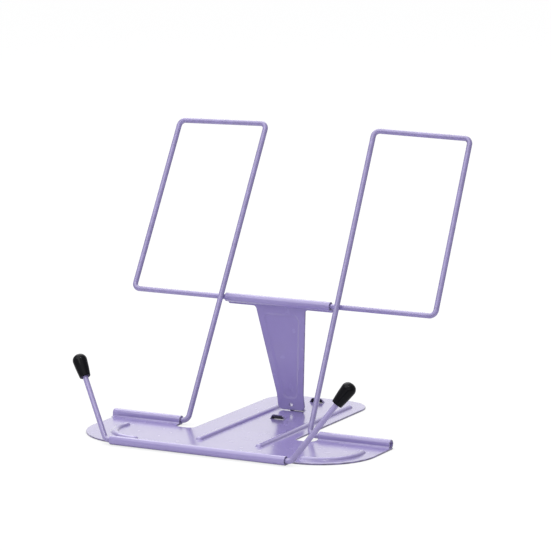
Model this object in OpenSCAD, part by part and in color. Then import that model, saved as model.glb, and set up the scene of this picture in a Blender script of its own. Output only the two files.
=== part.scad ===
// Folding book stand of bent wire and pressed sheet.
// A T-shaped base carries two page frames, a support leg props them, and a page holder swings at the front.
// Origin on the desk, under the middle of the hinge line. X to the right, Y to the back, Z up. Millimetres.

/* [Stock] */
// Diameter of the wire
wire_d = 3.5; // [3:0.1:4]
// Thickness of the pressed sheet
sheet_t = 1.1; // [0.9:0.1:1.4]
// Bend radius of the wire, on its centreline
bend_r = 4; // [3.5:0.5:6]
// Play between a wire and the rolled edge around it, on the radius
run_gap = 0.05; // [0.02:0.01:0.1]
// Open seam along a rolled edge
seam_gap = 0.35; // [0.2:0.05:0.6]
// Radius of the hollow bend where the sheet rises into a hinge roll
rise_r = 1.5; // [1:0.1:2]

/* [Base] */
// Width over the ends of the hinge rolls
base_w = 200; // [180:1:220]
// From the hinge line to the front edge of the wings
wing_depth = 66.5; // [56:0.5:76]
// Radius of the front corners of the wings
wing_corner_r = 38; // [30:1:44]
// How far the wings sit to the right of the hinge rolls
wing_shift = 1.4; // [0:0.1:2]
// How far the front edge of the right wing is set back
wing_skew = 2.5; // [0:0.1:3]
// From the front edge of the wings to the axis of the front roll
front_tab = 3.5; // [3:0.5:6]
// Length of each hinge roll
hinge_roll_len = 50; // [40:1:56]
// From the hinge line to the bottom of the relief notches
notch_depth = 10; // [8:0.5:14]
// Radius in the corners of the relief notches
notch_r = 4.5; // [1:0.5:5.5]
// Between the tongue's edge and the wire beside it
tongue_gap = 5.7; // [4:0.1:10]
// Radius of the rear corners of the tongue
tongue_corner_r = 20; // [10:1:26]
// From the rear louvre to the rear edge of the tongue
tongue_tail = 14.8; // [12:0.2:20]

/* [Stiffening beads] */
// Width of a bead on the sheet
bead_w = 5.4; // [4:0.2:6.4]
// Height of a bead over the sheet
bead_h = 1.9; // [1.2:0.1:2.2]
// Between the foot of the leg and the left bead
bead_foot_gap = 0.6; // [0.4:0.2:4]
// From the right bead to the tongue's right edge
bead_edge = 10.5; // [6:0.5:14]
// From the wings' front edge to the front ends of the tongue beads
bead_front = 30; // [20:0.5:40]
// From the rear ends of the tongue beads to the tongue's rear edge
bead_tail = 19.5; // [8:0.5:26]
// Radius of the curved beads on the wings
rib_r = 25; // [18:1:28]
// Turn of the curved beads
rib_turn = 105; // [70:1:110]
// From the right curved bead to the wing's right edge
rib_edge_right = 9; // [7:0.5:14]
// From the left curved bead to the wing's left edge
rib_edge_left = 21; // [14:0.5:24]
// From the curved beads to the wings' front edge
rib_front = 12.5; // [9:0.5:16]

/* [Louvres] */
// Width of a louvre
louvre_w = 10.4; // [8:0.2:12]
// Height of a louvre over the sheet
louvre_h = 3; // [2.2:0.1:3.6]
// Wall of a louvre
louvre_t = 0.7; // [0.5:0.1:0.9]
// Distance between louvres
louvre_pitch = 28.5; // [24:0.5:34]

/* [Page frames] */
// Backward tilt of the frames
tilt = 29.2; // [24:0.1:34]
// From the hinge line to the top run
frame_len = 208.6; // [190:0.2:225]
// From the hinge line to the low run
low_run = 87.2; // [76:0.2:98]
// From the end of a hinge roll to the wire's bend
foot_gap = 2; // [1.8:0.1:3]
// How far the inner leg of the wire leans inwards
inner_lean = 4.3; // [0:0.1:8]
// Width of the loop at the top run
loop_w = 67.1; // [56:0.1:76]
// How far the outer leg of the wire leans outwards
outer_flare = 2.9; // [0:0.1:6]
// Between the low run and the inner leg that it crosses
cross_gap = 0.1; // [0.05:0.05:0.4]
// How far the frames and the leg sit to the left in the hinge rolls
frame_slide = 1.45; // [0:0.05:1.45]
// From the open end of a hinge roll to the end of the wire in it, with the frames in the middle
pin_recess = 6; // [3:0.5:12]
// Between the two wire ends inside the leg's roll
wire_end_gap = 17; // [8:1:24]

/* [Support leg] */
// Forward lean of the leg
leg_lean = 12.9; // [8:0.1:18]
// Clearance of the leg's foot over the sheet and before the louvre
toe_gap = 0.35; // [0.3:0.05:0.6]
// Play between the leg's roll and the left wire
leg_play_left = 0.35; // [0.3:0.05:1]
// Play between the leg's roll and the right wire
leg_play_right = 4.2; // [2:0.05:6]
// From the roll's axis to the lower edge of the lip
lip_len = 5.3; // [4.2:0.1:6.5]
// Radius of the lip's lower corners
lip_r = 1; // [0.5:0.25:2]
// Radius between the lip and the plate
lip_root_r = 2; // [1:0.5:4]
// Width of the plate under the lip
leg_top_w = 36.4; // [28:0.2:40]
// Width of the foot
leg_foot_w = 19.6; // [15:0.2:22]
// Height of the straight foot
leg_foot_h = 11; // [8:0.5:14]
// Radius where the plate runs into the foot
knee_r = 12; // [6:1:20]
// Radius of the foot's corners
leg_foot_r = 3.5; // [2:0.5:5]
// From the lower edge of the lip to the pressed panel
panel_top_gap = 4.5; // [3:0.5:7]
// Border beside the pressed panel
panel_side = 4.4; // [3:0.2:6]
// From the pressed panel to the lower edge of the foot
panel_foot_gap = 8.5; // [8:0.5:13]
// Depth of the pressed panel
panel_depth = 0.6; // [0.3:0.1:0.8]
// Corner radius of the pressed panel
panel_r = 4; // [1:0.5:5]
// Diameter of the hole in the foot
hole_d = 2.4; // [2:0.1:3]
// From the hole to the lower edge of the foot
hole_up = 4; // [3:0.1:6]

/* [Page holder] */
// Length of an arm, from its corner to the tip of its cap
arm_len = 60.6; // [50:0.2:64]
// Outward splay of the arms
arm_splay = 31.5; // [20:0.5:36]
// Backward lean of the arms
arm_lean = 22.8; // [10:0.2:35]
// From the end of the front roll to the wire's bend
arm_gap = 1.4; // [0.6:0.1:2]

/* [Caps] */
// Length of a cap
cap_len = 16; // [12:0.5:20]
// Diameter at the mouth of a cap
cap_mouth_d = 7; // [6:0.1:8]
// Diameter at the head of a cap
cap_head_d = 10.2; // [9:0.1:11.5]
// Thickness of a cap over the end of the wire
cap_top = 3.4; // [2:0.1:5]
// Rounding of the cap's mouth
cap_mouth_round = 0.5; // [0.3:0.1:0.8]
// Rounding of the cap's head
cap_round = 4.2; // [2:0.1:4.5]
// Play between a cap and its wire, on the radius
cap_gap = 0.02; // [0.01:0.01:0.05]

/* [Hidden] */
$fn = 72;
arc_steps = 16;
paint = [0.66, 0.61, 0.80];
rubber = [0.07, 0.07, 0.08];

// Cutting shapes reach this far past the faces that they cut
cut_over = 1;
// A bend is slimmer than the straight runs and starts inside them, so that their surfaces never coincide
bend_slim = 0.02;
bend_lap = 2.5;

// Rolled edges
bore_d = wire_d + 2 * run_gap;
roll_od = bore_d + 2 * sheet_t;
hinge_z = roll_od / 2;
// The flat sheet runs into the wall of a roll up to here from the roll's axis
roll_lap = 0.9 * sheet_t;

// Page frames
hinge_roll_in = base_w / 2 - hinge_roll_len;
inner_foot = hinge_roll_in - foot_gap - bend_r;
inner_top = inner_foot - inner_lean;
outer_top = inner_top + loop_w;
outer_low = outer_top + outer_flare;
cross_back = wire_d + cross_gap;
inner_at_low = inner_foot - inner_lean * low_run / frame_len;

// Support leg
leg_axis = page(0, low_run, cross_back);
leg_left = -frame_slide - (inner_at_low - wire_d / 2 - leg_play_left);
leg_right = -frame_slide + (inner_at_low - wire_d / 2 - leg_play_right);
leg_mid = (leg_left + leg_right) / 2;
leg_roll_len = leg_right - leg_left;
leg_drop = leg_axis.z - sheet_t - toe_gap;
leg_len = (leg_drop + bore_d / 2 * sin(leg_lean)) / cos(leg_lean);
toe_back = leg_axis.y + leg_len * sin(leg_lean) + roll_od / 2 * cos(leg_lean);

// Base
front_y = -wing_depth;
front_roll_y = front_y - front_tab;
front_roll_len = base_w - 2 * wing_corner_r;
// A short straight piece is left between the wings' rounded corners and the ends of the front roll
wing_arc_r = wing_corner_r - 0.01;
tongue_half = inner_foot - wire_d / 2 - tongue_gap;
louvre_mid = toe_back + toe_gap;
tongue_rear = louvre_mid + louvre_pitch + tongue_tail;

// Round beads: a cylinder sunk into the sheet until it shows bead_w by bead_h
bead_r = (bead_w * bead_w / 4 + bead_h * bead_h) / (2 * bead_h);
bead_z = sheet_t + bead_h - bead_r;
bead_left_x = leg_mid - leg_foot_w / 2 - bead_foot_gap - bead_w / 2;
bead_right_x = tongue_half - bead_edge;
// The balls at the ends of a bead are this much larger, so that they cut its side instead of touching it
ball_over = 0.03;

// Louvres: the rear half of a ball sunk into the sheet until it shows louvre_w by louvre_h
louvre_r = (louvre_w * louvre_w / 4 + louvre_h * louvre_h) / (2 * louvre_h);
louvre_z = sheet_t + louvre_h - louvre_r;

// Page holder
arm_dir = [sin(arm_splay), cos(arm_splay) * sin(arm_lean), cos(arm_splay) * cos(arm_lean)];
arm_corner = [front_roll_len / 2 + arm_gap + bend_r * tan((90 - arm_splay) / 2), front_roll_y, hinge_z];
arm_wire_end = arm_corner + arm_dir * (arm_len - cap_top);
cap_mouth = arm_corner + arm_dir * (arm_len - cap_len);

// Point of the page frames: u along the hinge line, v up the frame, back behind its plane
function page(u, v, back = 0) = [
    u,
    v * sin(tilt) + back * cos(tilt),
    hinge_z + v * cos(tilt) - back * sin(tilt)
];

function unit(v) = v / norm(v);

// Points of one rounded corner b of an outline, between its neighbours a and c
function corner(a, b, c, r) =
    r == 0 ? [b] :
    let (
        to_a = unit(a - b),
        to_c = unit(c - b),
        half = acos(to_a * to_c) / 2,
        centre = b + unit(to_a + to_c) * r / sin(half),
        start = b + to_a * r / tan(half) - centre,
        side = cross(start, b - centre) > 0 ? 1 : -1,
        from = atan2(start.y, start.x)
    )
    [for (i = [0 : arc_steps])
        let (angle = from + side * (180 - 2 * half) * i / arc_steps)
        centre + r * [cos(angle), sin(angle)]];

// Outline from corners given as [x, y, radius]
function outline(corners) =
    let (n = len(corners), at = [for (c = corners) [c.x, c.y]])
    [for (i = [0 : n - 1])
        each corner(at[(i + n - 1) % n], at[i], at[(i + 1) % n], corners[i].z)];

// Places an object by its own axes and origin
module place(x, y, z, at) {
    multmatrix([
        [x.x, y.x, z.x, at.x],
        [x.y, y.y, z.y, at.y],
        [x.z, y.z, z.z, at.z],
        [0, 0, 0, 1]
    ])
        children();
}

// Places an object with its Z axis along a direction
module aim(direction, at) {
    z = unit(direction);
    x = unit(cross(abs(z.x) < 0.9 ? [1, 0, 0] : [0, 1, 0], z));
    place(x, cross(z, x), z, at)
        children();
}

// Wire along a route of points, with a round bend at each inner point
module wire(route) {
    last = len(route) - 1;
    function way(i) = unit(route[i + 1] - route[i]);
    function turn(i) = acos(way(i - 1) * way(i));
    function setback(i) = i == 0 || i == last ? 0 : bend_r * tan(turn(i) / 2);
    for (i = [0 : last - 1]) {
        start = route[i] + way(i) * setback(i);
        run = norm(route[i + 1] - route[i]) - setback(i) - setback(i + 1);
        aim(way(i), start)
            cylinder(d = wire_d, h = run);
    }
    for (i = [1 : last - 1]) {
        axis = unit(cross(way(i - 1), way(i)));
        inward = cross(axis, way(i - 1));
        start = route[i] - way(i - 1) * setback(i);
        place(-inward, way(i - 1), axis, start + inward * bend_r)
            rotate([0, 0, -bend_lap])
                rotate_extrude(angle = turn(i) + 2 * bend_lap)
                    translate([bend_r, 0])
                        circle(d = wire_d - bend_slim);
    }
}

// Rolled edge about the X axis; its sheet leaves towards -Y along the bottom
module rolled_edge(length) {
    difference() {
        rotate([0, 90, 0])
            linear_extrude(length, center = true)
                difference() {
                    circle(d = roll_od);
                    circle(d = bore_d);
                }
        translate([-length / 2 - cut_over, -roll_od, -bore_d / 2])
            cube([length + 2 * cut_over, roll_od - roll_lap / 2, seam_gap]);
    }
}

// Hollow bend in front of a rolled edge, where the sheet rises into the roll
module hollow_bend(length) {
    // The hollow dips a little into the sheet and the roll, so that it crosses them instead of touching them
    reach = roll_od / 2 + rise_r - bend_slim;
    centre_z = sheet_t + rise_r - bend_slim - hinge_z;
    centre = [-sqrt(reach * reach - centre_z * centre_z), centre_z];
    sheet_mid = sheet_t / 2 - hinge_z;
    wall_mid = (roll_od + bore_d) / 4;
    rotate([90, 0, 90])
        linear_extrude(length, center = true)
            difference() {
                polygon([
                    centre,
                    [centre.x, sheet_mid],
                    [-roll_lap, sheet_mid],
                    unit(centre) * wall_mid
                ]);
                translate(centre)
                    circle(r = rise_r);
            }
}

// Hinge roll: the sheet rises in front, rolls over the wire and ends in a seam at the back
module hinge_roll() {
    mirror([0, 1, 0])
        rolled_edge(hinge_roll_len);
    hollow_bend(hinge_roll_len);
}

module wing_sheet() {
    left = wing_shift - base_w / 2;
    right = wing_shift + base_w / 2;
    tab = front_roll_len / 2;
    right_front = front_y + wing_skew;
    linear_extrude(sheet_t)
        polygon(outline([
            [left, -roll_lap, 0],
            [left, front_y, wing_arc_r],
            [wing_shift - tab, front_y, 0],
            [wing_shift - tab, front_roll_y + roll_lap, 0],
            [tab, front_roll_y + roll_lap, 0],
            [tab, right_front, 0],
            [right, right_front, wing_arc_r],
            [right, -roll_lap, 0],
            [hinge_roll_in, -roll_lap, 0],
            [hinge_roll_in, -notch_depth, notch_r],
            [tongue_half, -notch_depth, notch_r],
            [tongue_half, tongue_rear, tongue_corner_r],
            [-tongue_half, tongue_rear, tongue_corner_r],
            [-tongue_half, -notch_depth, notch_r],
            [-hinge_roll_in, -notch_depth, notch_r],
            [-hinge_roll_in, -roll_lap, 0]
        ]));
}

// Straight beads along the tongue; grow is 0 outside and -sheet_t for the hollow below
module tongue_beads(grow) {
    r = bead_r + grow;
    start = front_y + bead_front;
    length = tongue_rear - bead_tail - start;
    for (x = [bead_left_x, bead_right_x])
        translate([x, start, bead_z]) {
            rotate([-90, 0, 0])
                cylinder(r = r, h = length);
            for (end = [0, length])
                translate([0, end, 0])
                    sphere(r = r + ball_over);
        }
}

// Curved bead of the right wing, about a centre near its front corner
module wing_bead(grow, edge) {
    r = bead_r + grow;
    translate([base_w / 2 - edge - rib_r, front_y + rib_front + rib_r, bead_z]) {
        rotate([0, 0, -90]) {
            rotate_extrude(angle = rib_turn)
                translate([rib_r, 0])
                    circle(r = r);
            for (angle = [0, rib_turn])
                rotate([0, 0, angle])
                    translate([rib_r, 0, 0])
                        sphere(r = r + ball_over);
        }
    }
}

module beads(grow) {
    tongue_beads(grow);
    wing_bead(grow, rib_edge_right);
    mirror([1, 0, 0])
        wing_bead(grow, rib_edge_left);
}

// Half balls of the louvres, open to the front
module louvres(grow) {
    for (step = [-1 : 1])
        translate([0, louvre_mid + step * louvre_pitch, 0])
            intersection() {
                translate([0, 0, louvre_z])
                    sphere(r = louvre_r + grow);
                translate([-louvre_w, 0, grow == 0 ? sheet_t / 2 : -cut_over])
                    cube([2 * louvre_w, louvre_w, 2 * louvre_r]);
            }
}

module base_plate() {
    color(paint)
        difference() {
            union() {
                wing_sheet();
                beads(0);
                louvres(0);
                for (side = [-1, 1])
                    translate([side * (base_w - hinge_roll_len) / 2, 0, hinge_z])
                        hinge_roll();
                translate([0, front_roll_y, hinge_z])
                    mirror([0, 1, 0])
                        rolled_edge(front_roll_len);
            }
            // Beads and louvres are pressed up from below, and nothing reaches under the sheet
            beads(-sheet_t);
            louvres(-louvre_t);
            translate([-base_w, front_y - base_w, -base_w])
                cube([2 * base_w, 2 * base_w + tongue_rear, base_w]);
        }
}

// Wire of the right frame, from the hinge roll round the loop to the leg's roll
module frame_wire() {
    wire([
        page(base_w / 2 - pin_recess, 0),
        page(inner_foot, 0),
        page(inner_top, frame_len),
        page(outer_top, frame_len, cross_back),
        page(outer_low, low_run, cross_back),
        page(wire_end_gap / 2, low_run, cross_back)
    ]);
}

module right_frame() {
    color(paint)
        translate([-frame_slide, 0, 0])
            frame_wire();
}

module left_frame() {
    color(paint)
        translate([-frame_slide, 0, 0])
            mirror([1, 0, 0])
                frame_wire();
}

// Outline of the leg's plate, hanging down from the axis of its roll
module leg_outline() {
    lip = leg_roll_len / 2;
    top = leg_top_w / 2;
    foot = leg_foot_w / 2;
    knee = leg_foot_h - leg_len;
    polygon(outline([
        [-lip, -roll_lap, 0],
        [-lip, -lip_len, lip_r],
        [-top, -lip_len, lip_root_r],
        [-foot, knee, knee_r],
        [-foot, -leg_len, leg_foot_r],
        [foot, -leg_len, leg_foot_r],
        [foot, knee, knee_r],
        [top, -lip_len, lip_root_r],
        [lip, -lip_len, lip_r],
        [lip, -roll_lap, 0]
    ]));
}

// Outline of the pressed panel, which follows the plate's tapering sides
module panel_outline(grow) {
    high = lip_len + panel_top_gap;
    low = leg_len - panel_foot_gap;
    taper = (leg_top_w - leg_foot_w) / 2 / (leg_len - leg_foot_h - lip_len);
    function half(down) = leg_top_w / 2 - panel_side - taper * (down - lip_len);
    polygon(outline([
        [-half(high) - grow, -high + grow, panel_r],
        [half(high) + grow, -high + grow, panel_r],
        [half(low) + grow, -low - grow, panel_r],
        [-half(low) - grow, -low - grow, panel_r]
    ]));
}

// Plate of a given thickness whose front face is at a given depth behind the roll's axis
module leg_slab(front, thickness) {
    translate([0, front + thickness, 0])
        rotate([90, 0, 0])
            linear_extrude(thickness)
                children();
}

module support_leg() {
    plate_front = bore_d / 2;
    color(paint)
        translate([leg_mid, leg_axis.y, leg_axis.z])
            rotate([leg_lean, 0, 0])
                difference() {
                    union() {
                        rotate([90, 0, 0])
                            rolled_edge(leg_roll_len);
                        leg_slab(plate_front, sheet_t)
                            leg_outline();
                        leg_slab(plate_front + sheet_t / 2, sheet_t / 2 + panel_depth)
                            panel_outline(panel_depth);
                    }
                    leg_slab(plate_front - cut_over, cut_over + panel_depth)
                        panel_outline(0);
                    translate([0, 0, hole_up - leg_len])
                        rotate([-90, 0, 0])
                            cylinder(d = hole_d, h = roll_od);
                }
}

module page_holder() {
    flip = [-1, 1, 1];
    color(paint)
        wire([
            [for (i = [0 : 2]) arm_wire_end[i] * flip[i]],
            [for (i = [0 : 2]) arm_corner[i] * flip[i]],
            arm_corner,
            arm_wire_end
        ]);
}

// Cap of the right arm
module cap() {
    aim(arm_dir, cap_mouth)
        difference() {
            rotate_extrude()
                polygon(outline([
                    [0, 0, 0],
                    [cap_mouth_d / 2, 0, cap_mouth_round],
                    [cap_head_d / 2, cap_len, cap_round],
                    [0, cap_len, 0]
                ]));
            translate([0, 0, -cut_over])
                cylinder(r = wire_d / 2 + cap_gap, h = cap_len - cap_top + cap_gap + cut_over);
        }
}

module right_cap() {
    color(rubber)
        cap();
}

module left_cap() {
    color(rubber)
        mirror([1, 0, 0])
            cap();
}

base_plate();
left_frame();
right_frame();
support_leg();
page_holder();
left_cap();
right_cap();
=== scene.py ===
"""Looks of a folding book stand of bent wire and pressed sheet, for Blender.

Origin on the desk, under the middle of the hinge line. X to the right, Y to the back, Z up.
Shapes are made in millimetres, and turned into metres when a piece is made.
Lamps and the floor are placed in metres.
"""

import math

import bmesh
import bpy
from mathutils import Matrix, Vector
from mathutils.geometry import delaunay_2d_cdt


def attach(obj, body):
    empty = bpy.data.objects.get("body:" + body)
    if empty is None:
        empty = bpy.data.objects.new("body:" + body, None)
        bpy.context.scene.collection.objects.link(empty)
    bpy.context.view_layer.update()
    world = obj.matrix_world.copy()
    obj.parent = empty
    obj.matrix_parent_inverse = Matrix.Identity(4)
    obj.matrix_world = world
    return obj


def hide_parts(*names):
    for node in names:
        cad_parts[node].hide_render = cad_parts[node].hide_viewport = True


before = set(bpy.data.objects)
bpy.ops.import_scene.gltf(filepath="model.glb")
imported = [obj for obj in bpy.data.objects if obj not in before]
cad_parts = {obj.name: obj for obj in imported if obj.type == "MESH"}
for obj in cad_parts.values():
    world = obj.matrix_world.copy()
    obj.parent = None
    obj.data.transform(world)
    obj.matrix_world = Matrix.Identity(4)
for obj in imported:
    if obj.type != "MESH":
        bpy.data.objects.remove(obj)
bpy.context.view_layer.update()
scene = bpy.context.scene
MM = 0.001
# Edges that turn by more than this are shaded as sharp ones
SHARP_ANGLE = math.radians(48)
# Corners of an outline that are nearer than this count as one
SAME_CORNER = 0.005

# Stock
WIRE_D = 3.5
SHEET_T = 1.1
BEND_R = 4.0
BORE_R = 1.8
ROLL_R = 2.9
SEAM_GAP = 0.35
# Hollow bend where the sheet rises into a roll, its flat start and its lift over the sheet
HOLLOW_R = 1.1
HOLLOW_STEPS = 12
HOLLOW_LEAD = 0.8
HOLLOW_LIFT = 0.012
# Degrees round a roll: between stations, at a raised roll's end and at a tucked roll's start
ROLL_STEP = 6
RAISED_ROLL_END = -140
TUCKED_ROLL_START = -110
# Rounding of the cut edges under the paint: sheet, holes, slits, ends of rolls and wires
EDGE_R = 0.4
HOLE_EDGE_R = 0.25
SLIT_EDGE_R = 0.1
ROLL_EDGE_R = 0.3
WIRE_EDGE_R = 0.35
# Rounding of a roll's free edge, and its least thickness as a share
FREE_EDGE_R = 0.45
FREE_EDGE_LEAST = 0.15
# Flat margin that keeps the shading of a rounded edge off the flat sheet
EDGE_MARGIN = 0.4
# Stations round a rounded edge and round a cut end, in degrees
EDGE_ANGLES = (90, 65, 40, 18, 0)
END_ANGLES = (0, 30, 60, 90)
# Wear of the paint where a rounded edge meets the flat, at a wire's end and in its bends; on the sheet's
# edges this darkening is partly wear and partly painted shade
FLAT_WEAR = 0.3
WIRE_END_WEAR = 0.9
BEND_WEAR = 0.25
# Sides of a wire, and degrees between the stations of a bend
WIRE_SIDES = 32
BEND_STEP = 5

# Base
BASE_HALF = 100.0
WING_LEFT = -98.6
WING_RIGHT = 101.4
FRONT_Y = -66.5
FRONT_RIGHT_Y = -64.0
FRONT_ROLL_Y = -70.0
FRONT_ROLL_HALF = 62.0
WING_CORNER_R = 38.0
HINGE_ROLL_IN = 50.0
NOTCH_Y = -10.0
NOTCH_R = 4.5
TONGUE_HALF = 36.55
TONGUE_REAR = 109.6
TONGUE_CORNER_R = 20.0
ROLL_LAP = 0.99
BASE_LONGEST_SIDE = 6

# Stiffening beads
BEAD_W = 5.4
BEAD_H = 1.9
# Softness of a bead's foot, and the width over which it fades out
BEAD_FOOT = 0.22
BEAD_FADE = 0.4
# Distances from a bead's middle line at which the sheet has points, closest at the foot
BEAD_NET = (0.6, 1.2, 1.7, 2.1, 2.4, 2.65, 2.85, 3.1, 3.5)
BEAD_END_STEPS = 12
BEAD_LEFT_X = -16.475
BEAD_RIGHT_X = 26.05
BEAD_FRONT_Y = -36.5
BEAD_REAR_Y = 90.1
RIB_R = 25.0
RIB_TURN = 105.0
RIB_RIGHT = Vector((66.0, -29.0))
RIB_LEFT = Vector((-54.0, -29.0))

# Louvres
LOUVRE_HALF_W = 5.3
LOUVRE_DEPTH = 5.4
LOUVRE_H = 3.0
LOUVRE_THIN = 0.4
LOUVRE_ROWS = (37.81, 66.31, 94.81)
# How square a louvre is in plan, how dark its inside is painted as shade, and the share of height where
# that painted shade starts
LOUVRE_SQUARE = 8
LOUVRE_PAINTED_SHADE = 2.0
LOUVRE_INSIDE = 0.02
# Slit at the mouth of a louvre: its width, and its back edge behind the mouth
SLIT_W = 0.24
SLIT_BACK = 0.001

# Page frames
TILT = math.radians(29.2)
FRAME_LEN = 208.6
LOW_RUN = 87.2
INNER_FOOT = 44.0
INNER_TOP = 39.7
OUTER_TOP = 106.8
OUTER_LOW = 109.7
CROSS_BACK = 3.6
PIN_END = 94.0
LOW_END = 8.5
FRAME_SLIDE = 1.45

# Support leg
LEG_LEAN = math.radians(12.9)
LEG_MID = -3.375
LEG_ROLL_LEN = 76.36
LEG_LEN = 78.19
LIP_LEN = 5.3
LIP_R = 1.0
LIP_ROOT_R = 2.0
LEG_TOP_W = 36.4
LEG_FOOT_W = 19.6
LEG_FOOT_H = 11.0
KNEE_R = 12.0
LEG_FOOT_R = 3.5
PANEL_TOP_GAP = 4.5
PANEL_SIDE = 4.4
PANEL_FOOT_GAP = 8.5
PANEL_DEPTH = 0.6
# Width of the panel's sloped border, and the share of it that lies outside the panel
PANEL_SLOPE = 2.0
PANEL_SLOPE_OUT = 0.35
PANEL_R = 4.0
# Distances inside the panel's outline at which the sheet has points
PANEL_NET = (-0.9, -0.7, -0.45, -0.2, 0.05, 0.3, 0.55, 0.8, 1.05, 1.3, 1.5)
PANEL_LONGEST_SIDE = 1.5
LEG_LONGEST_SIDE = 4
HOLE_R = 1.2
HOLE_UP = 4.0
HOLE_STEPS = 32

# Page holder and its caps
ARM_LEN = 60.6
ARM_SPLAY = math.radians(31.5)
ARM_LEAN = math.radians(22.8)
ARM_CORNER_X = 65.64
CAP_LEN = 16.0
CAP_MOUTH_R = 3.5
CAP_HEAD_R = 5.1
CAP_TOP = 3.4
CAP_ROUND = 4.2
CAP_MOUTH_ROUND = 0.5
# Bore of a cap: its gap to the wire, its modelled depth, the end of its straight part, its rounded mouth
CAP_BORE_GAP = 0.03
CAP_BORE_DEPTH = 2.2
CAP_BORE_STRAIGHT = 0.5
CAP_BORE_ROUND = 0.35
# Swell of a cap's side, and the length of its scuffed head
CAP_CROWN = 0.12
CAP_SCUFF = 4
CAP_SIDES = 56

# Turn of the camera round the stand
CAMERA_AZIMUTH = math.radians(27.46)


class Skin:
    """Points in millimetres, with the edge wear and painted shade of each, and the faces between them.
    """

    def __init__(self):
        self.points = []
        self.wear = []
        self.faces = []

    def add(self, point, wear=0.0):
        self.points.append(Vector(point))
        self.wear.append(wear)
        return len(self.points) - 1

    def add_ring(self, points, wear=0.0):
        return [self.add(point, wear) for point in points]

    def join_rings(self, lower, upper):
        """Faces between two closed rings with as many points each."""
        count = len(lower)
        for i in range(count):
            after = (i + 1) % count
            self.faces.append((lower[i], lower[after], upper[after], upper[i]))

    def place(self, placing):
        """Moves every point by a matrix."""
        self.points = [placing @ point for point in self.points]

    def take(self, other):
        """Adds the points and faces of another skin."""
        first = len(self.points)
        self.points += other.points
        self.wear += other.wear
        self.faces += [tuple(first + corner for corner in face) for face in other.faces]


def make_piece(name, skin, body, node, material):
    """Turns a skin into a piece that rides on a body and stands for a CAD node."""
    mesh = bpy.data.meshes.new(name)
    mesh.from_pydata([point * MM for point in skin.points], [], skin.faces)
    wear = mesh.attributes.new("edge_wear_and_shade", "FLOAT", "POINT")
    wear.data.foreach_set("value", skin.wear)
    shell = bmesh.new()
    shell.from_mesh(mesh)
    bmesh.ops.recalc_face_normals(shell, faces=shell.faces)
    shell.to_mesh(mesh)
    shell.free()
    mesh.shade_smooth()
    mesh.set_sharp_from_angle(angle=SHARP_ANGLE)
    mesh.materials.append(material)
    piece = bpy.data.objects.new(name, mesh)
    scene.collection.objects.link(piece)
    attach(piece, body)
    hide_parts(node)


# Plane outlines


def rounded_corner(before, at, after, radius, steps):
    """Points of one rounded corner between its neighbours."""
    if radius == 0:
        return [at]
    to_before = (before - at).normalized()
    to_after = (after - at).normalized()
    half = to_before.angle(to_after) / 2
    centre = at + (to_before + to_after).normalized() * radius / math.sin(half)
    start = at + to_before * radius / math.tan(half) - centre
    toward = at - centre
    side = 1 if start.x * toward.y - start.y * toward.x > 0 else -1
    points = []
    for i in range(steps + 1):
        angle = side * (math.pi - 2 * half) * i / steps
        points.append(centre + Matrix.Rotation(angle, 2) @ start)
    return points


def outline(corners, steps):
    """Closed loop through corners given as (x, y, radius)."""
    at = [Vector(corner[:2]) for corner in corners]
    count = len(at)
    loop = []
    for i in range(count):
        for point in rounded_corner(at[i - 1], at[i], at[(i + 1) % count], corners[i][2], steps):
            if not loop or (point - loop[-1]).length > SAME_CORNER:
                loop.append(point)
    return loop


def divide(loop, longest):
    """The same loop with its long sides cut into shorter ones."""
    points = []
    count = len(loop)
    for i in range(count):
        here = loop[i]
        side = loop[(i + 1) % count] - here
        cuts = max(1, math.ceil(side.length / longest))
        points += [here + side * k / cuts for k in range(cuts)]
    return points


def inset(loop, distance):
    """Closed loop moved to its left by a distance, with mitred corners."""
    points = []
    count = len(loop)
    for i in range(count):
        before = (loop[i] - loop[i - 1]).normalized()
        after = (loop[(i + 1) % count] - loop[i]).normalized()
        normals = Vector((-before.y - after.y, before.x + after.x))
        points.append(loop[i] + normals * distance / (1 + before.dot(after)))
    return points


def round_hole(centre, radius, steps):
    """Clockwise loop round a hole, which has the sheet on its left."""
    points = []
    for i in range(steps):
        angle = -2 * math.pi * i / steps
        points.append(centre + radius * Vector((math.cos(angle), math.sin(angle))))
    return points


def distance_inside(point, loop):
    """Distance from a point to a closed loop, below zero outside it."""
    nearest = math.inf
    inside = False
    count = len(loop)
    for i in range(count):
        a = loop[i - 1]
        b = loop[i]
        side = b - a
        along = min(1, max(0, (point - a).dot(side) / side.length_squared))
        nearest = min(nearest, (point - a - side * along).length)
        if (a.y > point.y) != (b.y > point.y):
            if point.x < a.x + (point.y - a.y) / (b.y - a.y) * side.x:
                inside = not inside
    return nearest if inside else -nearest


def smooth_step(value):
    value = min(1, max(0, value))
    return value * value * (3 - 2 * value)


# Pressed sheet


def add_rim(skin, loop, radius, top, bottom):
    """Rounded cut edge along a loop with the sheet on its left.
    Gives the flat loop inside it, and its points on the top and on the bottom."""
    rings = []
    levels = [("bottom", angle) for angle in EDGE_ANGLES]
    levels += [("top", angle) for angle in reversed(EDGE_ANGLES)]
    margin = inset(loop, radius + EDGE_MARGIN)
    rings.append(skin.add_ring([(p.x, p.y, bottom(p)) for p in margin]))
    for face, degrees in levels:
        angle = math.radians(degrees)
        moved = inset(loop, radius * (1 - math.cos(angle)))
        drop = radius * (1 - math.sin(angle))
        # The cut edge and its rim are darkened: partly worn paint, partly painted shade
        wear = math.cos(angle) if degrees < 90 else FLAT_WEAR
        if face == "top":
            rings.append(skin.add_ring([(p.x, p.y, top(p) - drop) for p in moved], wear))
        else:
            rings.append(skin.add_ring([(p.x, p.y, bottom(p) + drop) for p in moved], wear))
    rings.append(skin.add_ring([(p.x, p.y, top(p)) for p in margin]))
    for lower, upper in zip(rings, rings[1:]):
        skin.join_rings(lower, upper)
    return margin, rings[-1], rings[0]


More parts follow.
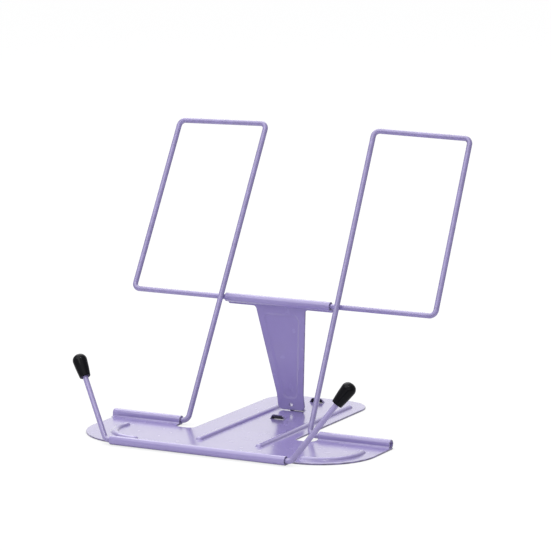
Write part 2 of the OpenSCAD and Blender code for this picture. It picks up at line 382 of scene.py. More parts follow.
def pressed_sheet(rims, inner, top, bottom, painted_shade=None):
    """Sheet between rims, each a loop and the radius of its edge. The first rim is the outer one.
    Where the last argument says so, the underside is painted darker as shade."""
    skin = Skin()
    plane = []
    loops = []
    top_points = []
    bottom_points = []
    for loop, radius in rims:
        margin, upper, lower = add_rim(skin, loop, radius, top, bottom)
        numbers = list(range(len(plane), len(plane) + len(margin)))
        # Every loop runs anticlockwise in the net, also those of the openings
        loops.append(numbers[::-1] if loops else numbers)
        plane += margin
        top_points += upper
        bottom_points += lower
    for point in inner:
        plane.append(point)
        top_points.append(skin.add((point.x, point.y, top(point))))
        # Painted shade: the underside gets a darkening share where the last argument says so
        painted_dark = painted_shade(point) if painted_shade else 0.0
        bottom_points.append(skin.add((point.x, point.y, bottom(point)), painted_dark))
    inside_only = 1
    same_point = 1e-6
    with_sources = True
    net = delaunay_2d_cdt(plane, [], loops, inside_only, same_point, with_sources)
    _, _, triangles, merged_points, _, owners = net
    source = [merged[0] for merged in merged_points]
    for triangle, within in zip(triangles, owners):
        # The sheet lies within the outer rim and in none of the openings
        if list(within) != [0]:
            continue
        a, b, c = (source[corner] for corner in triangle)
        if (plane[b] - plane[a]).cross(plane[c] - plane[a]) < 0:
            b, c = c, b
        skin.faces.append((top_points[a], top_points[b], top_points[c]))
        skin.faces.append((bottom_points[a], bottom_points[c], bottom_points[b]))
    return skin


def roll_over(line, turn_from, turn_to):
    """Adds stations round the roll to a middle line, as (point, way out of the roll)."""
    middle = (ROLL_R + BORE_R) / 2
    steps = math.ceil(abs(turn_to - turn_from) / ROLL_STEP)
    for i in range(steps + 1):
        angle = math.radians(turn_from + (turn_to - turn_from) * i / steps)
        spoke = Vector((math.cos(angle), math.sin(angle)))
        line.append((spoke * middle, spoke))


def raised_roll():
    """Sheet that comes from -Y along the bottom, rises in a hollow bend and rolls over to the back."""
    middle = (ROLL_R + BORE_R) / 2
    bend = HOLLOW_R + SHEET_T / 2
    centre = Vector((0, SHEET_T / 2 + bend - ROLL_R + HOLLOW_LIFT))
    centre.x = -math.sqrt((middle + bend) ** 2 - centre.y ** 2)
    line = [(Vector((centre.x - HOLLOW_LEAD, centre.y - bend)), Vector((0, 1)))]
    leave = math.degrees(math.atan2(-centre.y, -centre.x))
    for i in range(HOLLOW_STEPS + 1):
        angle = math.radians(-90 + (leave + 90) * i / HOLLOW_STEPS)
        spoke = Vector((math.cos(angle), math.sin(angle)))
        line.append((centre + spoke * bend, -spoke))
    roll_over(line, 180 + leave - ROLL_STEP, RAISED_ROLL_END)
    return line


def tucked_roll():
    """Sheet that comes from -Y along the bottom, goes under the wire and rolls back over it."""
    line = []
    shut = math.degrees(math.asin((ROLL_R - SHEET_T - SEAM_GAP) / ROLL_R))
    roll_over(line, TUCKED_ROLL_START, 180 + shut)
    return line


def rolled_edge(line, start, end):
    """Strip of sheet along a middle line in the YZ plane, from one X to another, with rounded edges."""
    half = SHEET_T / 2
    reach = 0.0
    outer = []
    inner = []
    for i in reversed(range(len(line))):
        point, out = line[i]
        if outer:
            reach += (line[i + 1][0] - point).length
        # The free edge at the end of the line is rounded
        short = max(0.0, 1 - reach / FREE_EDGE_R)
        thick = half * max(FREE_EDGE_LEAST, math.sqrt(1 - short ** 2))
        outer.append(point + out * thick)
        inner.append(point - out * thick)
    section = outer + inner[::-1]
    area = sum(section[i - 1].cross(section[i]) for i in range(len(section)))
    if area < 0:
        outer, inner = inner, outer
        section = outer + inner[::-1]
    last_corner = len(section) - 1
    skin = Skin()
    rings = []
    for degrees in END_ANGLES:
        angle = math.radians(degrees)
        moved = inset(section, ROLL_EDGE_R * (1 - math.sin(angle)))
        x = start + ROLL_EDGE_R * (1 - math.cos(angle))
        rings.append(skin.add_ring([(x, p.x, p.y) for p in moved], math.cos(angle)))
    for degrees in reversed(END_ANGLES):
        angle = math.radians(degrees)
        moved = inset(section, ROLL_EDGE_R * (1 - math.sin(angle)))
        x = end - ROLL_EDGE_R * (1 - math.cos(angle))
        rings.append(skin.add_ring([(x, p.x, p.y) for p in moved], math.cos(angle)))
    for lower, upper in zip(rings, rings[1:]):
        skin.join_rings(lower, upper)
    for i in range(len(line) - 1):
        face = (i, i + 1, last_corner - i - 1, last_corner - i)
        skin.faces.append(tuple(rings[0][corner] for corner in face))
        skin.faces.append(tuple(rings[-1][corner] for corner in reversed(face)))
    return skin


# Base


def bead_rise(across):
    """Height of a bead at a distance from its middle line, with rounded feet."""
    radius = (BEAD_W ** 2 / 4 + BEAD_H ** 2) / (2 * BEAD_H)
    if across >= radius:
        return 0.0
    arc = BEAD_H - radius + math.sqrt(radius ** 2 - across ** 2)
    rise = (arc + math.sqrt(arc ** 2 + BEAD_FOOT ** 2)) / 2
    return rise * smooth_step((radius - across) / BEAD_FADE)


def across_straight(point, x):
    """Distance from the middle line of a straight bead."""
    y = min(BEAD_REAR_Y, max(BEAD_FRONT_Y, point.y))
    return (point - Vector((x, y))).length


def across_curved(point, centre, side):
    """Distance from the middle line of a curved bead. Side is 1 on the right wing, -1 on the left."""
    arm = point - centre
    angle = math.atan2(arm.y, side * arm.x)
    low = -math.pi / 2
    angle = min(low + math.radians(RIB_TURN), max(low, angle))
    nearest = centre + RIB_R * Vector((side * math.cos(angle), math.sin(angle)))
    return (point - nearest).length


def louvre_share(point):
    """Height of the louvres as a share of their full height."""
    for row in LOUVRE_ROWS:
        back = point.y - row
        if 0 <= back < LOUVRE_DEPTH and abs(point.x) < LOUVRE_HALF_W:
            wide = (abs(point.x) / LOUVRE_HALF_W) ** LOUVRE_SQUARE
            reach = math.sqrt(wide + (back / LOUVRE_DEPTH) ** 2)
            if reach < 1:
                return math.cos(math.pi / 2 * reach) ** 2
    return 0.0


def base_rise(point):
    """How far the beads stand over the flat sheet."""
    nearest = min(
        across_straight(point, BEAD_LEFT_X),
        across_straight(point, BEAD_RIGHT_X),
        across_curved(point, RIB_RIGHT, 1),
        across_curved(point, RIB_LEFT, -1),
    )
    return bead_rise(nearest)


def base_top(point):
    return SHEET_T + base_rise(point) + LOUVRE_H * louvre_share(point)


def base_bottom(point):
    return base_rise(point) + (LOUVRE_H + LOUVRE_THIN) * louvre_share(point)


def base_painted_shade(point):
    """Painted shade: the inside of a louvre, which lies in the shade of its hood, is painted dark."""
    return LOUVRE_PAINTED_SHADE if louvre_share(point) > LOUVRE_INSIDE else 0.0


def bead_net(along):
    """Points on and beside a bead, from a list of (point, direction) along its middle line."""
    offsets = [-offset for offset in reversed(BEAD_NET)] + [0] + list(BEAD_NET)
    points = []
    for at, way in along:
        side = Vector((-way.y, way.x))
        points += [at + side * offset for offset in offsets]
    for at, way in (along[0], along[-1]):
        out = -1 if at == along[0][0] else 1
        for radius in BEAD_NET:
            for i in range(1, BEAD_END_STEPS):
                angle = math.pi * i / BEAD_END_STEPS - math.pi / 2
                turn = Matrix.Rotation(angle, 2)
                points.append(at + turn @ (way * out * radius))
    return points


def straight_bead_net(x):
    steps = 64
    length = BEAD_REAR_Y - BEAD_FRONT_Y
    way = Vector((0, 1))
    return bead_net([(Vector((x, BEAD_FRONT_Y + length * i / steps)), way) for i in range(steps + 1)])


def curved_bead_net(centre, side):
    steps = 44
    along = []
    for i in range(steps + 1):
        angle = math.radians(RIB_TURN) * i / steps - math.pi / 2
        spoke = Vector((side * math.cos(angle), math.sin(angle)))
        way = Vector((-side * math.sin(angle), math.cos(angle)))
        along.append((centre + RIB_R * spoke, way))
    return bead_net(along)


def louvre_net(row):
    """Points behind the mouth of one louvre, and a few beside it."""
    points = []
    rows = 14
    first_row = 0.62
    row_step = 0.42
    columns = 24
    beside = 0.3
    for j in range(rows):
        back = first_row + row_step * j
        for i in range(columns + 1):
            x = (LOUVRE_HALF_W + beside) * (2 * i / columns - 1)
            points.append(Vector((x, row + back)))
    return points


def slit(row):
    """Cut along the mouth of a louvre, with the sheet on its left."""
    half = LOUVRE_HALF_W
    steps = 26
    front = [Vector((half - 2 * half * i / steps, row - SLIT_W)) for i in range(steps + 1)]
    rear = [Vector((2 * half * i / steps - half, row + SLIT_BACK)) for i in range(steps + 1)]
    return front + rear


def base_outline():
    tab_left = WING_LEFT + WING_CORNER_R
    tab_right = FRONT_ROLL_HALF
    tab_y = FRONT_ROLL_Y + ROLL_LAP
    return outline([
        (WING_LEFT, -ROLL_LAP, 0),
        (WING_LEFT, FRONT_Y, WING_CORNER_R),
        (tab_left, FRONT_Y, 0),
        (tab_left, tab_y, 0),
        (tab_right, tab_y, 0),
        (tab_right, FRONT_RIGHT_Y, 0),
        (WING_RIGHT, FRONT_RIGHT_Y, WING_CORNER_R),
        (WING_RIGHT, -ROLL_LAP, 0),
        (HINGE_ROLL_IN, -ROLL_LAP, 0),
        (HINGE_ROLL_IN, NOTCH_Y, NOTCH_R),
        (TONGUE_HALF, NOTCH_Y, NOTCH_R),
        (TONGUE_HALF, TONGUE_REAR, TONGUE_CORNER_R),
        (-TONGUE_HALF, TONGUE_REAR, TONGUE_CORNER_R),
        (-TONGUE_HALF, NOTCH_Y, NOTCH_R),
        (-HINGE_ROLL_IN, NOTCH_Y, NOTCH_R),
        (-HINGE_ROLL_IN, -ROLL_LAP, 0),
    ], steps=24)


def make_base(material):
    inner = []
    for x in (BEAD_LEFT_X, BEAD_RIGHT_X):
        inner += straight_bead_net(x)
    inner += curved_bead_net(RIB_RIGHT, 1)
    inner += curved_bead_net(RIB_LEFT, -1)
    rims = [(divide(base_outline(), BASE_LONGEST_SIDE), EDGE_R)]
    for row in LOUVRE_ROWS:
        inner += louvre_net(row)
        rims.append((slit(row), SLIT_EDGE_R))
    skin = pressed_sheet(rims, inner, base_top, base_bottom, base_painted_shade)
    for start, end in ((-BASE_HALF, -HINGE_ROLL_IN), (HINGE_ROLL_IN, BASE_HALF)):
        roll = rolled_edge(raised_roll(), start, end)
        roll.place(Matrix.Translation((0, 0, ROLL_R)))
        skin.take(roll)
    front_roll = rolled_edge(tucked_roll(), -FRONT_ROLL_HALF, FRONT_ROLL_HALF)
    front_roll.place(Matrix.Translation((0, FRONT_ROLL_Y, ROLL_R)) @ Matrix.Scale(-1, 4, (0, 1, 0)))
    skin.take(front_roll)
    make_piece("base_sheet", skin, "base", "base_plate", material)


# Bent wire


def wire_line(route):
    """Middle line of a wire along a route, with a round bend at each inner point."""
    line = [route[0]]
    for before, at, after in zip(route, route[1:], route[2:]):
        into = (at - before).normalized()
        out = (after - at).normalized()
        turn = into.angle(out)
        setback = BEND_R * math.tan(turn / 2)
        axis = into.cross(out).normalized()
        centre = at - into * setback + axis.cross(into) * BEND_R
        start = at - into * setback - centre
        steps = math.ceil(math.degrees(turn) / BEND_STEP)
        for i in range(steps + 1):
            line.append(centre + Matrix.Rotation(turn * i / steps, 3, axis) @ start)
    line.append(route[-1])
    return line


def wire(route):
    """Round wire along a route, with its cut ends rounded over."""
    line = wire_line(route)
    radius = WIRE_D / 2
    least_bend = 0.02
    ways = [(b - a).normalized() for a, b in zip(line, line[1:])]
    stations = []
    for degrees in END_ANGLES:
        angle = math.radians(degrees)
        at = line[0] + ways[0] * WIRE_EDGE_R * (1 - math.cos(angle))
        size = radius - WIRE_EDGE_R * (1 - math.sin(angle))
        stations.append((at, ways[0], size, WIRE_END_WEAR * math.cos(angle)))
    for i in range(1, len(line) - 1):
        way = (ways[i - 1] + ways[i]).normalized()
        wear = BEND_WEAR if ways[i - 1].angle(ways[i]) > least_bend else 0.0
        stations.append((line[i], way, radius, wear))
    for degrees in reversed(END_ANGLES):
        angle = math.radians(degrees)
        at = line[-1] - ways[-1] * WIRE_EDGE_R * (1 - math.cos(angle))
        size = radius - WIRE_EDGE_R * (1 - math.sin(angle))
        stations.append((at, ways[-1], size, WIRE_END_WEAR * math.cos(angle)))
    skin = Skin()
    across = ways[0].orthogonal().normalized()
    rings = []
    for at, way, size, wear in stations:
        across = (across - way * across.dot(way)).normalized()
        other = way.cross(across)
        ring = []
        for i in range(WIRE_SIDES):
            angle = 2 * math.pi * i / WIRE_SIDES
            ring.append(at + (across * math.cos(angle) + other * math.sin(angle)) * size)
        rings.append(skin.add_ring(ring, wear))
    for lower, upper in zip(rings, rings[1:]):
        skin.join_rings(lower, upper)
    skin.faces.append(tuple(reversed(rings[0])))
    skin.faces.append(tuple(rings[-1]))
    return skin


def page(u, v, back=0.0):
    """Point of the page frames: u along the hinge line, v up the frame, back behind its plane."""
    y = v * math.sin(TILT) + back * math.cos(TILT)
    z = ROLL_R + v * math.cos(TILT) - back * math.sin(TILT)
    return Vector((u, y, z))


def make_frame(name, side, body, material):
    """One page frame; side is 1 for the right one and -1 for its mirror image on the left."""
    route = [
        page(PIN_END, 0),
        page(INNER_FOOT, 0),
        page(INNER_TOP, FRAME_LEN),
        page(OUTER_TOP, FRAME_LEN, CROSS_BACK),
        page(OUTER_LOW, LOW_RUN, CROSS_BACK),
        page(LOW_END, LOW_RUN, CROSS_BACK),
    ]
    skin = wire([Vector((side * p.x - FRAME_SLIDE, p.y, p.z)) for p in route])
    make_piece(name, skin, body, body, material)


def arm_direction(side):
    up = math.cos(ARM_SPLAY)
    return Vector((side * math.sin(ARM_SPLAY), up * math.sin(ARM_LEAN), up * math.cos(ARM_LEAN)))


def arm_corner(side):
    return Vector((side * ARM_CORNER_X, FRONT_ROLL_Y, ROLL_R))


def make_holder(material):
    left_end = arm_corner(-1) + arm_direction(-1) * (ARM_LEN - CAP_TOP)
    right_end = arm_corner(1) + arm_direction(1) * (ARM_LEN - CAP_TOP)
    skin = wire([left_end, arm_corner(-1), arm_corner(1), right_end])
    make_piece("holder_wire", skin, "page_holder", "page_holder", material)


# Support leg


def leg_outline():
    lip = LEG_ROLL_LEN / 2
    top = LEG_TOP_W / 2
    foot = LEG_FOOT_W / 2
    knee = LEG_FOOT_H - LEG_LEN
    return outline([
        (-lip, -ROLL_LAP, 0),
        (-lip, -LIP_LEN, LIP_R),
        (-top, -LIP_LEN, LIP_ROOT_R),
        (-foot, knee, KNEE_R),
        (-foot, -LEG_LEN, LEG_FOOT_R),
        (foot, -LEG_LEN, LEG_FOOT_R),
        (foot, knee, KNEE_R),
        (top, -LIP_LEN, LIP_ROOT_R),
        (lip, -LIP_LEN, LIP_R),
        (lip, -ROLL_LAP, 0),
    ], steps=14)


def panel_outline():
    high = LIP_LEN + PANEL_TOP_GAP
    low = LEG_LEN - PANEL_FOOT_GAP
    taper = (LEG_TOP_W - LEG_FOOT_W) / 2 / (LEG_LEN - LEG_FOOT_H - LIP_LEN)
    wide = LEG_TOP_W / 2 - PANEL_SIDE - taper * (high - LIP_LEN)
    narrow = LEG_TOP_W / 2 - PANEL_SIDE - taper * (low - LIP_LEN)
    return outline([
        (-narrow, -low, PANEL_R),
        (narrow, -low, PANEL_R),
        (wide, -high, PANEL_R),
        (-wide, -high, PANEL_R),
    ], steps=10)


def make_leg(material):
    panel = panel_outline()
    fine_panel = divide(panel, PANEL_LONGEST_SIDE)

    def sink(point):
        inside = distance_inside(point, panel)
        return PANEL_DEPTH * smooth_step((inside + PANEL_SLOPE * PANEL_SLOPE_OUT) / PANEL_SLOPE)

    def front(point):
        return SHEET_T - sink(point)

    def behind(point):
        return -sink(point)

    inner = []
    for distance in PANEL_NET:
        inner += inset(fine_panel, distance)
    hole = round_hole(Vector((0, HOLE_UP - LEG_LEN)), HOLE_R, HOLE_STEPS)
    rims = [(divide(leg_outline(), LEG_LONGEST_SIDE), EDGE_R), (hole, HOLE_EDGE_R)]
    skin = pressed_sheet(rims, inner, front, behind)
    # The plate hangs down from the roll's axis, with its back flush with the back of the roll
    upright = Matrix(((1, 0, 0, 0), (0, 0, -1, ROLL_R), (0, 1, 0, 0), (0, 0, 0, 1)))
    skin.place(upright)
    roll = rolled_edge(tucked_roll(), -LEG_ROLL_LEN / 2, LEG_ROLL_LEN / 2)
    roll.place(Matrix.Rotation(math.pi / 2, 4, "X"))
    skin.take(roll)
    axis = page(0, LOW_RUN, CROSS_BACK)
    hang = Matrix.Translation((LEG_MID, axis.y, axis.z)) @ Matrix.Rotation(LEG_LEAN, 4, "X")
    skin.place(hang)
    make_piece("leg_sheet", skin, "support_leg", "support_leg", material)


# Caps


def cap_section():
    """Radius and height of the cap's outside, from inside its mouth to the middle of its head."""
    bore = WIRE_D / 2 + CAP_BORE_GAP
    inside = Vector((bore, CAP_BORE_DEPTH))
    mouth = Vector((bore, 0))
    side = Vector((CAP_MOUTH_R, 0))
    head = Vector((CAP_HEAD_R, CAP_LEN))
    points = [inside, Vector((bore, CAP_BORE_STRAIGHT))]
    points += rounded_corner(inside, mouth, side, CAP_BORE_ROUND, steps=5)
    points += rounded_corner(mouth, side, head, CAP_MOUTH_ROUND, steps=6)
    # The side is crowned a little, as a pulled rubber cap is
    side_steps = 14
    head_points = rounded_corner(side, head, Vector((0, CAP_LEN)), CAP_ROUND, steps=18)
    last = points[-1]
    for i in range(1, side_steps):
        share = i / side_steps
        at = last + (head_points[0] - last) * share
        points.append(at + Vector((CAP_CROWN * math.sin(math.pi * share), 0)))
    points += head_points
    # The head is flat in the middle
    flat = head_points[-1].x
    flat_steps = 4
    for i in range(1, flat_steps):
        points.append(Vector((flat * (1 - i / flat_steps), CAP_LEN)))
    return points


def make_cap(name, side, node, material):
    skin = Skin()
    rings = []
    for radius, height in cap_section():
        ring = []
        for i in range(CAP_SIDES):
            angle = 2 * math.pi * i / CAP_SIDES
            ring.append((radius * math.cos(angle), radius * math.sin(angle), height))
        wear = smooth_step((height - CAP_LEN + CAP_SCUFF) / CAP_SCUFF)
        rings.append(skin.add_ring(ring, wear))
    for lower, upper in zip(rings, rings[1:]):
        skin.join_rings(lower, upper)
    middle = skin.add((0, 0, CAP_LEN), 1.0)
    last = rings[-1]
    for i in range(CAP_SIDES):
        skin.faces.append((last[i], last[(i + 1) % CAP_SIDES], middle))
    skin.faces.append(tuple(reversed(rings[0])))
    way = arm_direction(side)
    aim = way.to_track_quat("Z", "Y").to_matrix().to_4x4()
    mouth = arm_corner(side) + way * (ARM_LEN - CAP_LEN)
    skin.place(Matrix.Translation(mouth) @ aim)
    make_piece(name, skin, "page_holder", node, material)


# Materials


class Surface:
    """A material's node tree, with short calls for the nodes that the surfaces need."""

    def __init__(self, name):
        self.material = bpy.data.materials.new(name)
        self.material.use_nodes = True
        self.tree = self.material.node_tree
        self.shader = self.tree.nodes["Principled BSDF"]
        self.place = self.tree.nodes.new("ShaderNodeTexCoord").outputs["Object"]

    def link(self, source, target):
        self.tree.links.new(source, target)

    def noise(self, scale, detail):
        """Noise over the object's own metres, with about as many spots a metre as its scale."""
        node = self.tree.nodes.new("ShaderNodeTexNoise")
        node.inputs["Scale"].default_value = scale
        node.inputs["Detail"].default_value = detail
        self.link(self.place, node.inputs["Vector"])
        return node.outputs["Fac"]

    def distance(self):
        """Distance from the object's origin."""
        node = self.tree.nodes.new("ShaderNodeVectorMath")
        node.operation = "LENGTH"
        self.link(self.place, node.inputs[0])
        return node.outputs["Value"]

    def attribute(self, name):
        node = self.tree.nodes.new("ShaderNodeAttribute")
        node.attribute_name = name
        return node.outputs["Fac"]

    def spread(self, value, low, high, to_low, to_high):
        """Turns the range from low to high into the range from to_low to to_high."""
        node = self.tree.nodes.new("ShaderNodeMapRange")
        self.link(value, node.inputs["Value"])
        node.inputs["From Min"].default_value = low
        node.inputs["From Max"].default_value = high
        node.inputs["To Min"].default_value = to_low
        node.inputs["To Max"].default_value = to_high
        return node.outputs["Result"]

    def multiply(self, first, second):
        node = self.tree.nodes.new("ShaderNodeMath")
        node.operation = "MULTIPLY"
        self.link(first, node.inputs[0])
        self.link(second, node.inputs[1])
        return node.outputs["Value"]

    def mix(self, share, first, second):
        """Colour between two, each an output or a plain colour."""
        node = self.tree.nodes.new("ShaderNodeMix")
        node.data_type = "RGBA"
        self.link(share, node.inputs["Factor"])
        # The colours of this node follow its numbers and vectors, which have the same names
        first_colour = 6
        second_colour = 7
        mixed_colour = 2
        for colour, socket in ((first, node.inputs[first_colour]), (second, node.inputs[second_colour])):
            if isinstance(colour, tuple):
                socket.default_value = colour + (1.0,)
            else:
                self.link(colour, socket)
        return node.outputs[mixed_colour]

    def bump(self, height, distance):
        node = self.tree.nodes.new("ShaderNodeBump")
        node.inputs["Strength"].default_value = 1.0
        node.inputs["Distance"].default_value = distance
        self.link(height, node.inputs["Height"])
        return node.outputs["Normal"]


def lavender_enamel():
    """Glossy lavender stove enamel: faint clouds of colour, orange peel, and worn edges that are
    darkened partly as painted shade, with painted shade inside the louvres.
    """
    surface = Surface("lavender_enamel")
    shader = surface.shader
    deep_lavender = (0.322, 0.268, 0.558)
    pale_lavender = (0.344, 0.288, 0.586)
    speck_colour = (0.39, 0.34, 0.64)
    bare_steel_and_shade = (0.055, 0.046, 0.095)
    cloud_noise = surface.noise(scale=38, detail=4)
    clouds = surface.spread(cloud_noise, low=0.35, high=0.65, to_low=0.0, to_high=1.0)
    colour = surface.mix(clouds, deep_lavender, pale_lavender)
    speck_noise = surface.noise(scale=900, detail=2)
    specks = surface.spread(speck_noise, low=0.60, high=0.74, to_low=0.0, to_high=0.05)
    colour = surface.mix(specks, colour, speck_colour)
    patch_noise = surface.noise(scale=210, detail=4)
    patches = surface.spread(patch_noise, low=0.36, high=0.60, to_low=0.35, to_high=0.85)
    # Painted shade: this darkening marks worn edges, and also paints shade on the cut edges and inside
    # the louvres
    worn_and_shaded = surface.multiply(surface.attribute("edge_wear_and_shade"), patches)
    colour = surface.mix(worn_and_shaded, colour, bare_steel_and_shade)
    surface.link(colour, shader.inputs["Base Color"])
    gloss_noise = surface.noise(scale=120, detail=3)
    gloss = surface.spread(gloss_noise, low=0.3, high=0.7, to_low=0.21, to_high=0.28)
    surface.link(gloss, shader.inputs["Roughness"])
    shader.inputs["IOR"].default_value = 1.5
    shader.inputs["Coat Weight"].default_value = 1.0
    shader.inputs["Coat Roughness"].default_value = 0.16
    shader.inputs["Coat IOR"].default_value = 1.62
    peel = surface.bump(surface.noise(scale=700, detail=1), distance=0.000005)
    surface.link(peel, shader.inputs["Normal"])
    return surface.material


def black_rubber():
    """Dipped black rubber with a shiny skin, fine grain and a scuffed head."""
    surface = Surface("dipped_rubber")
    shader = surface.shader
    deep_black = (0.0030, 0.0029, 0.0048)
    pale_black = (0.0052, 0.0050, 0.0074)
    scuff_colour = (0.030, 0.029, 0.034)
    cloud_noise = surface.noise(scale=160, detail=4)
    clouds = surface.spread(cloud_noise, low=0.35, high=0.65, to_low=0.0, to_high=1.0)
    colour = surface.mix(clouds, deep_black, pale_black)
    patch_noise = surface.noise(scale=520, detail=4)
    patches = surface.spread(patch_noise, low=0.50, high=0.70, to_low=0.0, to_high=0.5)
    scuffed = surface.multiply(surface.attribute("edge_wear_and_shade"), patches)
    colour = surface.mix(scuffed, colour, scuff_colour)
    surface.link(colour, shader.inputs["Base Color"])
    dull_noise = surface.noise(scale=300, detail=3)
    dull = surface.spread(dull_noise, low=0.3, high=0.7, to_low=0.05, to_high=0.09)
    surface.link(dull, shader.inputs["Roughness"])
    shader.inputs["IOR"].default_value = 1.45
    shader.inputs["Specular IOR Level"].default_value = 0.20
    grain = surface.bump(surface.noise(scale=1500, detail=3), distance=0.000008)
    surface.link(grain, shader.inputs["Normal"])
    return surface.material


# Studio


def make_camera():
    """Camera at the photograph's angle, by its turn, height, distance and aim in millimetres."""
    elevation = math.radians(9.95)
    distance = 1959.81
    aim_right = 16.335
    aim_up = 100.306
    focal_pixels = 3065.14
    picture_pixels = 551
    sensor = 36
    ahead = math.cos(CAMERA_AZIMUTH)
    aside = math.sin(CAMERA_AZIMUTH)
    flat = math.cos(elevation)
    right = Vector((ahead, aside, 0))
    back = Vector((aside * flat, -ahead * flat, math.sin(elevation)))
    up = back.cross(right)
    place = (right * aim_right + up * aim_up + back * distance) * MM
    lens = bpy.data.cameras.new("camera")
    lens.sensor_fit = "HORIZONTAL"
    lens.sensor_width = sensor
    lens.lens = sensor * (focal_pixels / picture_pixels)
    lens.clip_end = 200
    camera = bpy.data.objects.new("camera", lens)
    turn = Matrix((right, up, back)).transposed().to_4x4()
    camera.matrix_world = Matrix.Translation(place) @ turn
    scene.collection.objects.link(camera)
    scene.camera = camera


def make_lamp(name, place, target, size, power):
    """Round lamp at a place, turned to a target."""
    lamp = bpy.data.lights.new(name, "AREA")
    lamp.shape = "DISK"
    lamp.size = size
    lamp.energy = power
    holder = bpy.data.objects.new(name, lamp)
    way = Vector(target) - Vector(place)
    holder.matrix_world = Matrix.Translation(place) @ way.to_track_quat("-Z", "Y").to_matrix().to_4x4()
    scene.collection.objects.link(holder)


def from_sides(tree, left, right):
    """Share of light by direction: one from the front, the top and behind,
    and less from the left and the right of the photograph's angle."""
    fade_start = 0.12
    fade_end = 0.80
    way = tree.nodes.new("ShaderNodeTexCoord").outputs["Generated"]
    along = tree.nodes.new("ShaderNodeVectorMath")
    along.operation = "DOT_PRODUCT"
    along.inputs[1].default_value = (math.cos(CAMERA_AZIMUTH), math.sin(CAMERA_AZIMUTH), 0.0)
    tree.links.new(way, along.inputs[0])
    both = tree.nodes.new("ShaderNodeMath")
    both.operation = "MULTIPLY"
    for side, level in ((-1, left), (1, right)):
        fade = tree.nodes.new("ShaderNodeMapRange")
        fade.interpolation_type = "SMOOTHSTEP"
        fade.inputs["From Min"].default_value = fade_start * side
        fade.inputs["From Max"].default_value = fade_end * side
        fade.inputs["To Min"].default_value = 1.0
        fade.inputs["To Max"].default_value = level
        tree.links.new(along.outputs["Value"], fade.inputs["Value"])
        tree.links.new(fade.outputs["Result"], both.inputs[max(0, side)])
    return both.outputs["Value"]


def make_world():
    """Soft light that is weak at the sides, with a white backdrop behind everything."""
    world = bpy.data.worlds.new("studio")
    scene.world = world
    world.use_nodes = True
    tree = world.node_tree
    share = from_sides(tree, left=0.5, right=0.32)
    ambient_level = 0.84
    ambient = tree.nodes["Background"]
    ambient.inputs["Color"].default_value = (0.98, 0.98, 1.0, 1.0)
    level = tree.nodes.new("ShaderNodeMath")
    level.operation = "MULTIPLY"
    level.inputs[1].default_value = ambient_level
    tree.links.new(share, level.inputs[0])
    tree.links.new(level.outputs["Value"], ambient.inputs["Strength"])
    backdrop = tree.nodes.new("ShaderNodeBackground")
    backdrop.inputs["Color"].default_value = (1.0, 1.0, 1.0, 1.0)
    path = tree.nodes.new("ShaderNodeLightPath")
    shown = tree.nodes.new("ShaderNodeMath")
    shown.operation = "MAXIMUM"
    tree.links.new(path.outputs["Is Camera Ray"], shown.inputs[0])
    tree.links.new(share, shown.inputs[1])
    tree.links.new(shown.outputs["Value"], backdrop.inputs["Strength"])
    mixed = tree.nodes.new("ShaderNodeMixShader")
    tree.links.new(seen_share(tree), mixed.inputs["Fac"])
    tree.links.new(ambient.outputs["Background"], mixed.inputs[1])
    tree.links.new(backdrop.outputs["Background"], mixed.inputs[2])
    tree.links.new(mixed.outputs["Shader"], tree.nodes["World Output"].inputs["Surface"])


def seen_share(tree):
    """One for camera, glossy and transmission rays, and nought for the rest."""
    path = tree.nodes.new("ShaderNodeLightPath")
    first = tree.nodes.new("ShaderNodeMath")
    first.operation = "MAXIMUM"
    tree.links.new(path.outputs["Is Camera Ray"], first.inputs[0])
    tree.links.new(path.outputs["Is Glossy Ray"], first.inputs[1])
    second = tree.nodes.new("ShaderNodeMath")
    second.operation = "MAXIMUM"
    tree.links.new(first.outputs["Value"], second.inputs[0])
    tree.links.new(path.outputs["Is Transmission Ray"], second.inputs[1])
    return second.outputs["Value"]


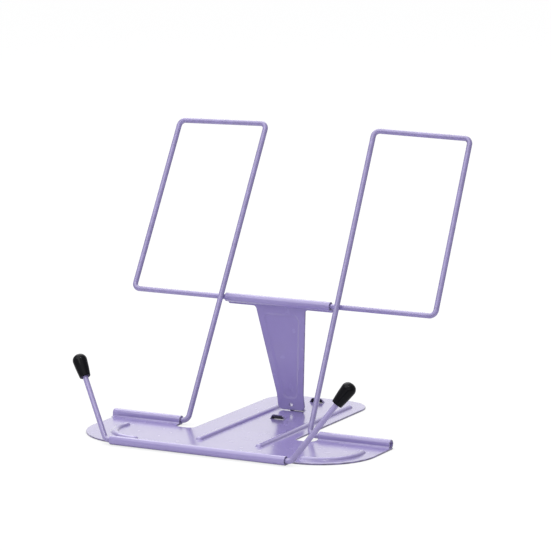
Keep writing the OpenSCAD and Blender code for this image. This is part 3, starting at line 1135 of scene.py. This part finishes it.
def make_floor():
    """Plain white floor that keeps a faint shadow."""
    reach = 30.0
    depth = -0.0001
    mesh = bpy.data.meshes.new("floor")
    signs = ((-1, -1), (1, -1), (1, 1), (-1, 1))
    mesh.from_pydata([(reach * x, reach * y, depth) for x, y in signs], [], [(0, 1, 2, 3)])
    floor = bpy.data.objects.new("floor", mesh)
    scene.collection.objects.link(floor)
    surface = Surface("floor_paper")
    shader = surface.shader
    path = surface.tree.nodes.new("ShaderNodeLightPath")
    cool_white = (0.88, 0.88, 0.89)
    warm_white = (0.90, 0.90, 0.90)
    near_grey = (0.62, 0.62, 0.63)
    far_grey = (0.22, 0.22, 0.24)
    seen_grey = (0.12, 0.12, 0.12)
    tone = surface.mix(surface.noise(scale=3, detail=2), cool_white, warm_white)
    # The far floor is dim where it is mirrored, which draws the edges of the wires
    far = surface.spread(surface.distance(), low=0.2, high=0.6, to_low=0.0, to_high=1.0)
    dim = surface.mix(far, near_grey, far_grey)
    tone = surface.mix(path.outputs["Is Glossy Ray"], tone, dim)
    # The camera sees little of the lamps' light on the floor, so that its white stays even
    tone = surface.mix(path.outputs["Is Camera Ray"], tone, seen_grey)
    surface.link(tone, shader.inputs["Base Color"])
    shader.inputs["Roughness"].default_value = 0.9
    shader.inputs["Specular IOR Level"].default_value = 0.0
    shader.inputs["Emission Color"].default_value = (1.0, 1.0, 1.0, 1.0)
    # Its seen white is mostly its own light, held back a little where the object stands over it
    shade = surface.tree.nodes.new("ShaderNodeAmbientOcclusion")
    shade.inputs["Distance"].default_value = 0.05
    shade.samples = 8
    white = surface.spread(shade.outputs["AO"], low=0.0, high=1.0, to_low=0.70, to_high=0.92)
    lift = surface.multiply(path.outputs["Is Camera Ray"], white)
    surface.link(lift, shader.inputs["Emission Strength"])
    mesh.materials.append(surface.material)


# Scene

scene.view_settings.view_transform = "Standard"
make_camera()
make_world()
make_floor()
make_lamp("key", place=(-0.5, -0.85, 1.6), target=(0.0, 0.0, 0.08), size=1.9, power=12.0)
make_lamp("top", place=(-0.7, 0.8, 1.4), target=(0.0, 0.0, 0.05), size=1.7, power=11.0)
make_lamp("spark", place=(0.5, -0.5, 1.25), target=(0.0, -0.05, 0.06), size=0.12, power=1.0)

enamel = lavender_enamel()
rubber = black_rubber()
make_base(enamel)
make_frame("left_wire", -1, "left_frame", enamel)
make_frame("right_wire", 1, "right_frame", enamel)
make_leg(enamel)
make_holder(enamel)
make_cap("left_rubber_cap", -1, "left_cap", rubber)
make_cap("right_rubber_cap", 1, "right_cap", rubber)
